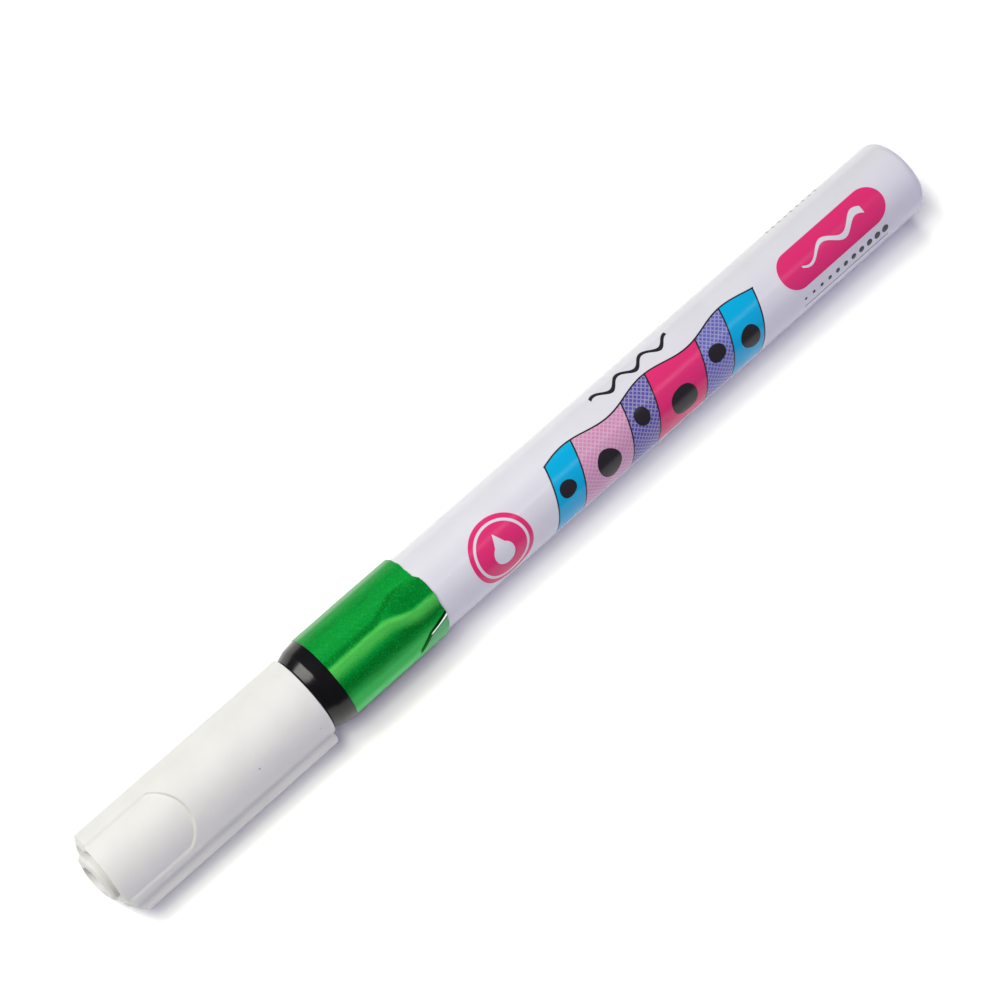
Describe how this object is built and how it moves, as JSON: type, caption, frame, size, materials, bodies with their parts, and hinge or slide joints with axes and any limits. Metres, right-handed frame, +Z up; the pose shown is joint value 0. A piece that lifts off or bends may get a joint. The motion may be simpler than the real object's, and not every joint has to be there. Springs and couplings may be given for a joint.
{
  "type": "paint marker",
  "caption": "Slim valve-action paint marker lying on its side, with a metal barrel, sprung nib, loose mixing ball, coloured film band and a vented, ribbed pull-off cap.",
  "frame": {"origin": "on the marker's axis, half way along the barrel's plain wall behind the colour band", "axes": "+X along the barrel's axis towards its closed rear end, -X towards the cap, +Z up as the marker lies on its side"},
  "size_m": [0.1361, 0.0127, 0.0118],
  "materials": {
    "white_lacquer": "gloss white lacquer with printed shapes",
    "green_film": "metallic green film, creased",
    "black_plastic": "glossy black moulding",
    "nib_fibre": "pressed fibre stained with green paint",
    "wick_felt": "felted fibre",
    "valve_plastic": "natural moulded plastic",
    "soft_rubber": "matte black rubber",
    "spring_steel": "drawn wire",
    "ball_steel": "polished ball",
    "white_plastic": "fine matte white moulding",
    "liner_plastic": "translucent natural moulding"
  },
  "bodies": {
    "holder": {"barrel": "white_lacquer", "colour_band": "green_film", "front_section": "black_plastic", "wick_ring": "wick_felt", "valve_body": "valve_plastic", "flange_gasket": "soft_rubber", "valve_spring": "spring_steel", "valve_retainer": "valve_plastic"},
    "cap": {"cap_shell": "white_plastic", "inner_cap": "liner_plastic"},
    "nib_and_plunger": {"nib": "nib_fibre", "valve_plunger": "valve_plastic", "plunger_seal": "soft_rubber"},
    "ball": {"mixing_ball": "ball_steel"}
  },
  "joints": [
    {"name": "cap_pull", "type": "slide", "parent": "holder", "child": "cap", "axis": [-1, 0, 0], "range_m": [0, 0.04]},
    {"name": "nib_press", "type": "slide", "parent": "holder", "child": "nib_and_plunger", "axis": [1, 0, 0], "range_m": [0, 0.0015], "stiffness_N_per_m": 1500, "springref_m": -0.001, "deforming": ["valve_spring"]},
    {"name": "ball_travel", "type": "slide", "parent": "holder", "child": "ball", "axis": [-1, 0, 0], "range_m": [0, 0.0785]}
  ]
}
